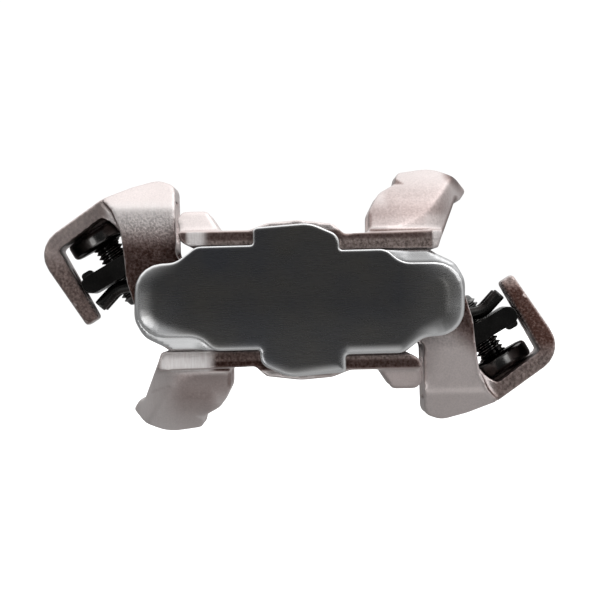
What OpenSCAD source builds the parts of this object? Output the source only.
// Two-sided clipless pedal with a cartridge axle.
// Frame: origin on the spindle axis at the face that seats on the crank arm,
// +Y out along the crank thread, +Z up, +X forward for the upper side.
// The lower side is the upper side turned half a turn about the spindle.

/* [Spindle] */
// Major radius of the 9/16 in x 20 crank thread
thread_r = 7.144; // [6.9:0.001:7.2]
// Length of the crank thread, with its end chamfer
thread_len = 13.5; // [12:0.5:14]
// Radius of the flange that seats on the crank
flange_r = 9.2; // [8.6:0.1:9.6]
// Width across flats of the hex socket in the spindle's end
hex_af = 8; // [6:1:8]

/* [Bearings] */
// Radius of one steel ball, 3/32 in
ball_r = 1.1906; // [1.15:0.0001:1.195]
// Balls in each ring
ball_n = 14; // [10:1:14]
// Radius of the circle through the ball centres
ball_circle_r = 5.45; // [5.4:0.01:5.5]

/* [Body] */
// Distance from the crank face to the middle of the cleat platform
centre_y = 55; // [53:1:57]
// Half the width of the cage that carries both mechanisms
cage_hw = 25; // [24.9:0.05:25.1]
// Thickness of each end wall of the cage
wall_t = 6; // [5.8:0.1:6.1]
// Radius of the axle tube under the claw plates
tube_r = 8.95; // [8.8:0.05:8.95]
// Radius of the axle tube at the crank end
boss_r = 10.3; // [10:0.1:10.4]

/* [Rear claw] */
// Distance of each rear claw's pivot from the spindle axis
pivot_x = 18.2; // [18:0.1:18.3]
// Radius of the pivot pins
pin_r = 2.25; // [2:0.05:2.3]
// Half the width of the rear claw
claw_hw = 18.5; // [18:0.1:18.6]
// Half the width of the guard over the adjusting screw
guard_hw = 10; // [9.5:0.1:10.5]
// Half its width at the tip
guard_tip_hw = 4.5; // [3.5:0.5:6]

/* [Tension adjuster] */
// Radius of the adjusting screw's thread
screw_r = 2; // [1.9:0.05:2]
// Radius of the adjusting screw's head
screw_head_r = 4.9; // [4.6:0.1:5]
// Angle of the adjusting screw below the horizontal
screw_tilt = 60.2; // [59.8:0.1:60.6]

/* [Springs] */
// Diameter of the spring wire
wire_d = 1.8; // [1.6:0.1:1.8]
// Mean radius of the coils
coil_r = 3.5; // [3.4:0.05:3.55]

/* [Hidden] */
$fn = 72;

mid_y = -centre_y;             // middle of the platform
outboard_y = mid_y - cage_hw;  // outboard face of the cage
inboard_y = mid_y + cage_hw;   // inboard face of the cage
bore_r = 7.5;                  // seat of the bearing sleeve
front_ledge_z = 6.85;          // seat of the claw plate ahead of the tube
rear_ledge_z = 7.65;           // seat of the claw plate behind the tube
gap = 0.05;                    // clearance between fitted parts
screw_hex_af = 3;              // hex sockets of the claw plate and adjusting screws

front_claw_colour = [0.58, 0.53, 0.52];
rear_claw_colour = [0.55, 0.5, 0.49];
pin_colour = [0.6, 0.6, 0.62];
claw_screw_colour = [0.2, 0.2, 0.2];
adjusting_screw_colour = [0.08, 0.08, 0.08];
spring_colour = [0.1, 0.1, 0.1];
plate_colour = [0.1, 0.1, 0.1];

// ---------- outlines ----------

function unit(v) = v / norm(v);
function flat(p) = [p[0], p[1]];
function hex_r(across_flats) = across_flats / 2 / cos(30);

// angle at a corner, in degrees
function corner_angle(before, corner, after) =
    let (a = flat(before) - flat(corner), b = flat(after) - flat(corner))
    acos(max(-1, min(1, a * b / norm(a) / norm(b))));

// distance from a corner to where its arc meets the edges; none for sharp or straight corners
function tangent_len(before, corner, after) =
    let (angle = corner_angle(before, corner, after))
    (corner[2] < 0.02 || angle > 178) ? 0 : corner[2] / tan(angle / 2);

// the part of an edge one corner may use when it and its neighbour want too much
function share(own, other, edge) =
    own + other <= 0.96 * edge ? own : 0.96 * edge * own / (own + other);

function corner_arc(before, corner, after, tangent, steps) =
    let (tip = flat(corner))
    (tangent < 0.01) ? [tip] :
    let (to_before = unit(flat(before) - tip),
         to_after = unit(flat(after) - tip),
         angle = corner_angle(before, corner, after),
         radius = tangent * tan(angle / 2),
         middle = tip + unit(to_before + to_after) * (radius / sin(angle / 2)),
         from = tip + to_before * tangent - middle,
         to = tip + to_after * tangent - middle,
         start = atan2(from[1], from[0]),
         sweep = (atan2(to[1], to[0]) - start + 540) % 360 - 180)
    [for (i = [0:steps]) let (a = start + sweep * i / steps) middle + radius * [cos(a), sin(a)]];

// polygon whose corners [x, y, r] are rounded to radius r,
// less where two corners share a short edge
function rounded(corners, steps = 5) =
    let (n = len(corners),
         tangents = [for (i = [0:n - 1])
             tangent_len(corners[(i + n - 1) % n], corners[i], corners[(i + 1) % n])],
         edges = [for (i = [0:n - 1]) norm(flat(corners[(i + 1) % n]) - flat(corners[i]))])
    [for (i = [0:n - 1])
        let (prev = (i + n - 1) % n,
             next = (i + 1) % n,
             tangent = min(share(tangents[i], tangents[prev], edges[prev]),
                           share(tangents[i], tangents[next], edges[i])))
        each corner_arc(corners[prev], corners[i], corners[next], tangent, steps)];

// outlines completed from half their corners: by half a turn,
// by mirroring the second coordinate, and by mirroring the first
function two_fold(half) = concat(half, [for (p = half) [-p[0], -p[1], p[2]]]);
function mirror_second(half) =
    concat(half, [for (i = [len(half) - 1:-1:0]) [half[i][0], -half[i][1], half[i][2]]]);
function mirror_first(half) =
    concat(half, [for (i = [len(half) - 1:-1:0]) [-half[i][0], half[i][1], half[i][2]]]);

// ---------- placing ----------

// profile in X-Z, extruded along Y from y0 to y1
module along_y(y0, y1)
    translate([0, y1, 0]) rotate([90, 0, 0]) linear_extrude(y1 - y0) children();

// the same, centred on the platform's middle
module across(half_width) along_y(mid_y - half_width, mid_y + half_width) children();

// the same, on one side (-1 outboard, 1 inboard) at distances near to far from the middle
module side_slab(side, near, far)
    along_y(mid_y + min(side * near, side * far), mid_y + max(side * near, side * far))
        children();

// profile in Y-Z, about the platform's middle, extruded along X
module along_x(x0, x1)
    translate([x0, mid_y, 0]) rotate([90, 0, 90]) linear_extrude(x1 - x0) children();

// profile in X-Y, about the platform's middle, extruded along Z
module along_z(z0, z1) translate([0, mid_y, z0]) linear_extrude(z1 - z0) children();

module rod_y(r, y0, y1, x = 0)
    translate([x, y1, 0]) rotate([90, 0, 0]) cylinder(r = r, h = y1 - y0);

// a turned shape about the spindle axis, from [radius, y] points
module turned(points) rotate([-90, 0, 0]) rotate_extrude() polygon(points);

module other_side() rotate([0, 180, 0]) children();
module both_sides() for (turn = [0, 180]) rotate([0, turn, 0]) children();

// ---------- cartridge axle ----------

inboard_ball_y = -31;
outboard_ball_y = -68;
groove_r = ball_r + 0.06;   // race groove
spindle_end_y = -76;
hex_depth = 9;
cone_end_y = -72;
cone_bore_r = 3.02;
sleeve_r = bore_r - 0.01;
sleeve_bore_r = 5.9;
sleeve_mouth_r = 6.72;      // wider bore outside each ball ring
bolt_flange_y = -17.9;      // outboard face of the lock bolt's flange
notch_n = 16;
notch_w = 1.3;

module race_groove(y)
    translate([0, y, 0]) rotate([90, 0, 0])
        rotate_extrude() translate([ball_circle_r, 0]) circle(r = groove_r);

module spindle() color([0.62, 0.62, 0.64]) difference() {
    turned([[0, spindle_end_y], [2.6, spindle_end_y], [3, -75.6], [3, -66.6], [3.9, -66],
            [4.85, -34.5], [4.85, -31.9], [4.3, -31.9], [4.3, -30.6],
            [5.3, -30.1], [5.3, -28.4], [6, -27.8], [6, -13], [7, -8], [7, -3.4],
            [flange_r - 0.5, -3], [flange_r, -2.6], [flange_r, -0.5], [flange_r - 0.4, 0],
            [thread_r, 0], [thread_r, thread_len - 1],
            [thread_r - 0.9, thread_len], [0, thread_len]]);
    // hex socket and its chamfered mouth
    rotate([-90, 0, 0]) translate([0, 0, thread_len - hex_depth])
        cylinder(r = hex_r(hex_af), h = hex_depth + 1, $fn = 6);
    rotate([-90, 0, 0]) translate([0, 0, thread_len - 0.5])
        cylinder(r1 = hex_af / 2, r2 = hex_af / 2 + 0.9, h = 0.9);
    race_groove(inboard_ball_y);
}

module outboard_cone() color([0.55, 0.55, 0.57]) difference() {
    turned([[cone_bore_r, cone_end_y], [5.1, cone_end_y], [5.3, -71.8], [5.3, -68.9],
            [4.3, -68.4], [4.3, -66.9], [4.1, -66.7], [cone_bore_r, -66.7]]);
    race_groove(outboard_ball_y);
    // two flats for the adjusting spanner
    for (side = [-1, 1])
        translate([side * 5.4 - 0.6, cone_end_y - 0.1, -6]) cube([1.2, 2.4, 12]);
}

module cone_lock_nut() color([0.5, 0.5, 0.52]) difference() {
    translate([0, cone_end_y - 0.1, 0]) rotate([90, 0, 0])
        cylinder(r = hex_r(9), h = 3, $fn = 6);
    rod_y(cone_bore_r, -76, cone_end_y);
}

module ball_ring(y) color([0.8, 0.8, 0.82])
    for (i = [0:ball_n - 1])
        rotate([0, i * 360 / ball_n, 0]) translate([ball_circle_r, y, 0]) sphere(r = ball_r);
module inboard_balls() ball_ring(inboard_ball_y);
module outboard_balls() ball_ring(outboard_ball_y);

module bearing_sleeve() color([0.5, 0.5, 0.52]) difference() {
    rod_y(sleeve_r, -76.3, -26);
    rod_y(sleeve_bore_r, -77, -25);
    rod_y(sleeve_mouth_r, -77, outboard_ball_y - 0.3);
    rod_y(sleeve_mouth_r, inboard_ball_y + 0.3, -25);
    race_groove(inboard_ball_y);
    race_groove(outboard_ball_y);
}

// resin nut that holds the cartridge in, with tool splines on its flange
module axle_lock_bolt() color([0.13, 0.13, 0.14]) difference() {
    union() {
        rod_y(8.98, -25.95, bolt_flange_y);
        rod_y(9.9, bolt_flange_y, -14.5);
    }
    rod_y(6.45, -27, -13);
    rod_y(7.6, -20.5, -13);
    for (i = [0:notch_n - 1])
        rotate([0, i * 360 / notch_n, 0])
            translate([8.95, -17.2, -notch_w / 2]) cube([2, 4, notch_w]);
}

module dust_seal() color([0.07, 0.07, 0.07])
    turned([[6.06, -19.3], [6.5, -20.4], [7.58, -20.4], [7.58, -14.9], [7.2, -14.7],
            [6.5, -15.1], [6.06, -16], [6.3, -17], [6.3, -18.3]]);

// ---------- body ----------

rim_t = 1.2;                // outer rim of the end face that covers the claw plate's edge
bar_z = 0.6;                // near face of each cross bar
claw_screw_x = 10.4;
claw_screw_y = 10;          // each way from the platform's middle

// upper half outlines of the rim and of the wall behind it: [x, z, r]
rim_half = [[-22.85, 5.2, 3.7], [-17.2, 5.45, 3], [-14.3, 7.65, 2.2], [-6.35, 7.72, 0.3],
            [-6.35, 10.15, 0.6], [1.6, 10.7, 5], [5.65, 8.9, 1.8], [5.65, 6.85, 0.3],
            [12.2, 6.9, 2.4], [14.2, 4.95, 3.5], [22.7, 4.95, 3.9]];
wall_half = [[-22.85, 5.2, 3.7], [-17.2, 5.45, 3], [-14.3, 7.6, 2],
             [-4.4, rear_ledge_z, 0], [-4.4, front_ledge_z, 0], [18.1, front_ledge_z, 0.5],
             [19.0, 6.2, 1], [21.7, 4.9, 2.5], [23.1, 2.4, 3]];

module end_wall(side) {
    side_slab(side, cage_hw - wall_t, cage_hw - rim_t) polygon(rounded(two_fold(wall_half)));
    side_slab(side, cage_hw - rim_t - 0.1, cage_hw) polygon(rounded(two_fold(rim_half)));
}

module at_claw_screws()
    for (side = [-1, 1])
        translate([claw_screw_x, mid_y + side * claw_screw_y, 0]) children();

module pedal_body() color([0.42, 0.42, 0.44]) difference() {
    union() {
        end_wall(-1);
        end_wall(1);
        rod_y(tube_r, outboard_y + 1, inboard_y);
        rod_y(boss_r, inboard_y - rim_t, -19);
        rod_y(boss_r - 0.4, -19.1, -18);
        // cross bars that take the claw plate screws and the springs' fixed legs
        both_sides()
            translate([5, outboard_y + wall_t - 0.1, bar_z])
                cube([8.5, 2 * (cage_hw - wall_t) + 0.2, front_ledge_z - bar_z]);
    }
    rod_y(bore_r, -76.4, -17);
    rod_y(9, -26, -17);
    // pin holes, open at the crank side
    for (side = [-1, 1]) rod_y(pin_r, outboard_y + 2.4, inboard_y + 1, x = side * pivot_x);
    // tapped holes for the claw plate screws
    both_sides() at_claw_screws() translate([0, 0, 1.2]) cylinder(r = 2.02, h = 8);
}

// ---------- fixed front claw and its plate ----------

plate_rear_z = rear_ledge_z + gap;    // underside of the plate behind the tube
plate_front_z = front_ledge_z + gap;  // and ahead of it
sink_z = 7.05;                        // bottom of the screws' countersink
clearance_r = 2.15;
sink_r = 4.4;

// side views: [x, z, r]
leg_profile = [[-16.9, 9.85, 0.4], [-16.5, 8.4, 1.0], [-15.3, plate_rear_z, 0.8],
               [-4.7, plate_rear_z, 0], [-4.7, plate_front_z, 0], [19.4, plate_front_z, 0.3],
               [20.25, 9.5, 0.2], [6.3, 9.15, 0.3], [4.8, 10.55, 0.5], [0, 11.15, 8],
               [-4.4, 10.8, 2], [-6.9, 9.85, 1]];
hump_profile = [[-10.8, 9.7, 0], [-12.7, 12.6, 0.5], [-16.2, 12.6, 0.9], [-16.9, 11.4, 0.6],
                [-16.5, 9.7, 0]];
floor_profile = [[6.2, plate_front_z, 0.2], [6.2, 9.2, 0.4], [20.1, 9.5, 0.2],
                 [19.3, plate_front_z, 0.2]];
claw_profile = [[9.75, 8.6, 0], [9.75, 11.9, 0.9], [11.2, 14.7, 2.5], [13.6, 16.0, 0.2],
                [13.85, 17.6, 0.8], [18.8, 18.25, 6], [22.2, 16.85, 3], [23.75, 15.0, 0.2],
                [22.75, 13.55, 0.15], [22.05, 13.6, 0.15], [19.5, 7.2, 0.2]];
// views from above: [x, y from the middle, r]
claw_plan = mirror_second([[5, 22.6, 0], [13.5, 22.5, 9], [19, 20.6, 7], [21.7, 16.6, 7],
                           [22.9, 11, 3], [24.3, 8.5, 1.5]]);
pocket_plan = mirror_second([[4, 17, 0], [10.5, 16.2, 2], [16.5, 11.2, 4], [20.4, 5.5, 2]]);
// end views along X: [y from the middle, z, r]
claw_front = mirror_first([[-23, 6, 0], [-23, 9.7, 0.5], [-21.7, 10.7, 1.2], [-19.8, 13.6, 8],
                           [-16.6, 16.9, 7], [-11.5, 19, 4]]);
// the humps behind the platform lean in towards their tops
hump_front = mirror_first([[-23, 9, 0], [-22.6, 9.9, 0], [-21.1, 12.8, 0], [-20, 14, 0]]);

module front_claw() difference() {
    union() {
        for (side = [-1, 1]) {
            side_slab(side, 13, 23.6) polygon(rounded(leg_profile, 4));
            intersection() {
                side_slab(side, 15.2, 22.6) polygon(rounded(hump_profile, 4));
                along_x(-18, -9) polygon(rounded(hump_front));
            }
        }
        // floor between the legs, ahead of the tube
        across(13.5) polygon(rounded(floor_profile, 4));
        intersection() {
            across(23.2) polygon(rounded(claw_profile, 5));
            along_z(6, 20) polygon(rounded(claw_plan, 5));
            along_x(5, 26) polygon(rounded(claw_front, 4));
        }
    }
    // seat over the axle tube
    rod_y(tube_r + gap, mid_y - 30, mid_y + 30);
    // pocket for the cleat's tip, open to the rear, under the lip
    along_z(9.3, 15.4) polygon(rounded(pocket_plan, 5));
    // the lip's rear edge, hollowed to the cleat's nose
    translate([5.2, mid_y, 15]) cylinder(r = 11.2, h = 6);
    // chamfers on the rear corners of the side walls, and on the plate's front corners
    for (side = [-1, 1]) {
        translate([9.75, mid_y + side * 22.5, 11.3]) rotate([0, 0, 45])
            cube([0.95, 0.95, 3], center = true);
        translate([20.8, mid_y + side * 24.2, 9]) rotate([0, 0, 45])
            cube([3.6, 3.6, 6], center = true);
    }
    // clearance and countersink for the two screws
    at_claw_screws() {
        cylinder(r = clearance_r, h = 12);
        translate([0, 0, sink_z]) cylinder(r1 = clearance_r, r2 = sink_r, h = 2.26);
        translate([0, 0, 9.28]) cylinder(r = sink_r, h = 5);
    }
}
module front_claw_top() color(front_claw_colour) front_claw();
module front_claw_bottom() color(front_claw_colour) other_side() front_claw();

module claw_screws() at_claw_screws() difference() {
    union() {
        translate([0, 0, 1.4]) cylinder(r = 2, h = 6);
        translate([0, 0, sink_z]) cylinder(r1 = 2.05, r2 = 4.2, h = 2.1);
    }
    translate([0, 0, 7.6]) cylinder(r = hex_r(screw_hex_af), h = 3, $fn = 6);
}
module claw_screws_top() color(claw_screw_colour) claw_screws();
module claw_screws_bottom() color(claw_screw_colour) other_side() claw_screws();

// ---------- adjusting screw's frame ----------

head_x = -28.16;            // middle of the screw's head
head_z = 9.52;
head_h = 2.5;

// local +Z runs from the head's middle to the tip, local +X across it, away from the pivot
module on_screw_axis(along = 0)
    translate([head_x, mid_y, head_z]) rotate([0, 90 + screw_tilt, 0])
        translate([0, 0, along]) children();

// ---------- sprung rear claw ----------

hook_x = -17.25;            // front of the cleat hook
heel_r = 60;                // cleat's round heel
heel_x = hook_x + 58.9;     // and its centre
pivot_boss_r = 4.55;

// side views: [x, z, r]
cheek_profile = [[-27.75, 14.6, 0.3], [-26.3, 13.2, 0.8], [-25, 10.2, 3], [-24.55, 6.8, 5],
                 [-24.2, 3, 5], [-22.9, -1.2, 1], [-20, -3.6, 1], [-16, -3.4, 1],
                 [-14.1, 1.5, 1.5], [hook_x, 6.8, 1.5], [hook_x, 16.35, 1.1],
                 [-19.6, 17.2, 3], [-23.3, 16.25, 9]];
// wall across the claw: cleat hook at the top, stop face below it
hook_profile = [[-27.75, 14.6, 0.3], [-26.4, 13, 0.8], [-25.3, 10.6, 0.8], [-24.6, 10.8, 0.5],
                [-23.6, 12.9, 1], [-21.2, 13.1, 1.4], [-19.9, 11.2, 1], [-19.7, 7, 0.5],
                [hook_x, 7, 0.5], [hook_x, 16.35, 1.1], [-19.6, 17.2, 3], [-23.3, 16.25, 9]];
guard_profile = [[-26.4, 15.1, 0], [-27.9, 14.68, 0.4], [-37.55, 7.95, 3.9],
                 [-30.35, -3.15, 0.35], [-28.5, -2.0, 0.35], [-33.9, 7.7, 0.35],
                 [-27.7, 12.2, 0.8], [-26.2, 11.2, 0.8], [-24.9, 9.6, 0.4], [-23.8, 12.5, 0]];
// claw from above: [x, y from the middle, r]
claw_above = mirror_second([[-10, claw_hw, 0], [-27.2, claw_hw, 1.2], [-28.4, claw_hw - 1.2, 0]]);
// guard's taper and claw from behind: [y from the middle, z, r]
guard_behind = mirror_first([[-guard_hw, 17, 0], [-guard_hw, 7.5, 4], [-guard_tip_hw, -4, 0]]);
claw_behind = mirror_first([[-19, -8, 0], [-18.6, 6, 9], [-17.6, 13.2, 2.5], [-14.2, 17.6, 1.2]]);

module rear_claw() difference() {
    union() {
        intersection() {
            union() {
                for (side = [-1, 1])
                    side_slab(side, 14.8, claw_hw) {
                        polygon(rounded(cheek_profile, 4));
                        translate([-pivot_x, 0]) circle(r = pivot_boss_r);
                    }
                across(15) polygon(rounded(hook_profile, 4));
            }
            along_x(-40, -10) polygon(rounded(claw_behind, 4));
            along_z(-8, 20) polygon(rounded(claw_above, 4));
        }
        intersection() {
            across(guard_hw) polygon(rounded(guard_profile, 5));
            along_x(-42, -18) polygon(rounded(guard_behind, 4));
        }
        // flat seat for the screw's head
        on_screw_axis(-3.25) cylinder(r = 4.4, h = 2.25);
    }
    rod_y(pin_r + gap, mid_y - 30, mid_y + 30, x = -pivot_x);
    // the cleat's round heel sits in the hook
    translate([heel_x, mid_y, 8.6]) cylinder(r = heel_r, h = 5.6);
    // hex key hole and seat for the adjusting screw's head
    on_screw_axis(-9) cylinder(r = 2.3, h = 8);
    on_screw_axis(-head_h / 2 - 0.1) cylinder(r = screw_head_r + 0.25, h = 3.9);
    // window that shows the tension setting
    on_screw_axis(4.2) translate([6, 0, 0]) cube([6, 5.4, 4.8], center = true);
}
module rear_claw_top() color(rear_claw_colour) rear_claw();
module rear_claw_bottom() color(rear_claw_colour) other_side() rear_claw();

module pivot_pin() difference() {
    rod_y(pin_r, outboard_y + 2.6, inboard_y - 0.6, x = -pivot_x);
    // blind hole in the crank end
    rod_y(0.9, inboard_y - 1.6, inboard_y, x = -pivot_x);
}
module pivot_pin_top() color(pin_colour) pivot_pin();
module pivot_pin_bottom() color(pin_colour) other_side() pivot_pin();

// ---------- springs ----------

coil_start = 13.55;         // first coil, outboard of the platform's middle
coil_end = 100.4;           // angle in the last coil where the free leg leaves it
coil_turns = 3 + coil_end / 360;
coil_pitch = 2.1;
coil_steps = 62;
fixed_leg_z = [-5.6, -3.6, -1.6];
leg_bend = [-26.04, 2.13];  // free leg's bend and end, [x, z]
leg_end = [-28.41, -0.44];
bend_len = 0.9;             // from the bend's corner to where the curve starts

function mix(a, b, t) = a + t * (b - a);
function toward(a, b, distance) = a + distance * unit(b - a);
// curve from a to c, pulled towards b
function bent(a, b, c, n) =
    [for (i = [0:n]) mix(mix(a, b, i / n), mix(b, c, i / n), i / n)];

function on_coil(angle) = [-pivot_x + coil_r * cos(angle), coil_r * sin(angle)];

// wire path: fixed leg down the cross bar, coils about the pin,
// free leg bent under the adjusting plate
function spring_path(y0) =
    let (coil_len = coil_turns * coil_pitch,
         leave = on_coil(coil_end),
         free_leg = concat(
             [mix(leave, leg_bend, 0.3), mix(leave, leg_bend, 0.6)],
             bent(toward(leg_bend, leave, bend_len), leg_bend,
                  toward(leg_bend, leg_end, bend_len), 5),
             [leg_end]))
    concat([for (z = fixed_leg_z) [-pivot_x + coil_r, y0, z]],
           [for (i = [0:coil_steps])
               let (part = i / coil_steps, p = on_coil(part * coil_turns * 360))
               [p[0], y0 + part * coil_len, p[1]]],
           [for (p = free_leg) [p[0], y0 + coil_len, p[1]]]);

function path_dir(path, i) = unit(path[min(i + 1, len(path) - 1)] - path[max(i - 1, 0)]);

// round wire along a path, as rings of n points joined by quads
module wire(path, r, n = 10) {
    last = len(path) - 1;
    points = [for (i = [0:last])
        let (dir = path_dir(path, i), u = unit(cross([0, 1, 0], dir)), v = cross(dir, u))
        for (k = [0:n - 1]) path[i] + r * (cos(k * 360 / n) * u + sin(k * 360 / n) * v)];
    sides = [for (i = [0:last - 1], k = [0:n - 1])
        let (a = i * n + k, b = i * n + (k + 1) % n) [a, a + n, b + n, b]];
    start_cap = [for (k = [0:n - 1]) k];
    end_cap = [for (k = [n - 1:-1:0]) last * n + k];
    polyhedron(points = points, faces = concat([start_cap], sides, [end_cap]));
}

module outboard_spring() wire(spring_path(mid_y - coil_start), wire_d / 2);
module inboard_spring() translate([0, 2 * mid_y, 0]) mirror([0, 1, 0]) outboard_spring();
module outboard_spring_top() color(spring_colour) outboard_spring();
module inboard_spring_top() color(spring_colour) inboard_spring();
module outboard_spring_bottom() color(spring_colour) other_side() outboard_spring();
module inboard_spring_bottom() color(spring_colour) other_side() inboard_spring();

// ---------- tension adjuster ----------

head_top = -head_h / 2;
head_under = head_h / 2;
top_chamfer = 0.35;
under_chamfer = 0.6;
shank_start = head_under - 0.2;
shank_len = 9.1;            // to the chamfer at its tip
tip_chamfer = 0.5;
plate_near = 3.92;          // adjusting plate's near face, from the head's middle
plate_far = 6.55;           // and its far face
plate_end = 5.8;            // its guided end, from the screw's axis
lip_near = plate_near - 0.73;

module adjusting_screw() on_screw_axis() difference() {
    union() {
        translate([0, 0, head_top])
            cylinder(r1 = screw_head_r - top_chamfer, r2 = screw_head_r, h = top_chamfer);
        translate([0, 0, head_top + top_chamfer])
            cylinder(r = screw_head_r, h = head_h - top_chamfer - under_chamfer);
        translate([0, 0, head_under - under_chamfer])
            cylinder(r1 = screw_head_r, r2 = screw_head_r - under_chamfer, h = under_chamfer);
        translate([0, 0, shank_start]) cylinder(r = screw_r, h = shank_len);
        translate([0, 0, shank_start + shank_len])
            cylinder(r1 = screw_r, r2 = screw_r - tip_chamfer, h = tip_chamfer);
    }
    translate([0, 0, head_top - 1]) cylinder(r = hex_r(screw_hex_af), h = 2.8, $fn = 6);
}
module adjusting_screw_top() color(adjusting_screw_colour) adjusting_screw();
module adjusting_screw_bottom() color(adjusting_screw_colour) other_side() adjusting_screw();

// slab in the screw's frame from corners [across, along, r]
module screw_slab(half_width, corners)
    rotate([90, 0, 0]) translate([0, 0, -half_width]) linear_extrude(2 * half_width)
        polygon(rounded(corners, 4));

module adjusting_plate() difference() {
    on_screw_axis() {
        screw_slab(9.2, [[plate_end, plate_near, 1.05], [plate_end, plate_far, 1.3],
                         [-4, plate_far, 0.5], [-4, plate_near, 0.5]]);
        // lip that shows the setting
        screw_slab(2.4, [[5.4, plate_near + 1, 0], [5.4, lip_near, 0.5],
                         [3.6, lip_near, 0.5], [3.6, plate_near + 1, 0]]);
    }
    on_screw_axis(plate_near - 1) cylinder(r = screw_r + gap, h = plate_far - plate_near + 2);
}
module adjusting_plate_top() color(plate_colour) adjusting_plate();
module adjusting_plate_bottom() color(plate_colour) other_side() adjusting_plate();

spindle();
outboard_cone();
cone_lock_nut();
inboard_balls();
outboard_balls();
bearing_sleeve();
axle_lock_bolt();
dust_seal();
pedal_body();
front_claw_top();
front_claw_bottom();
claw_screws_top();
claw_screws_bottom();
rear_claw_top();
rear_claw_bottom();
pivot_pin_top();
pivot_pin_bottom();
outboard_spring_top();
inboard_spring_top();
outboard_spring_bottom();
inboard_spring_bottom();
adjusting_screw_top();
adjusting_screw_bottom();
adjusting_plate_top();
adjusting_plate_bottom();
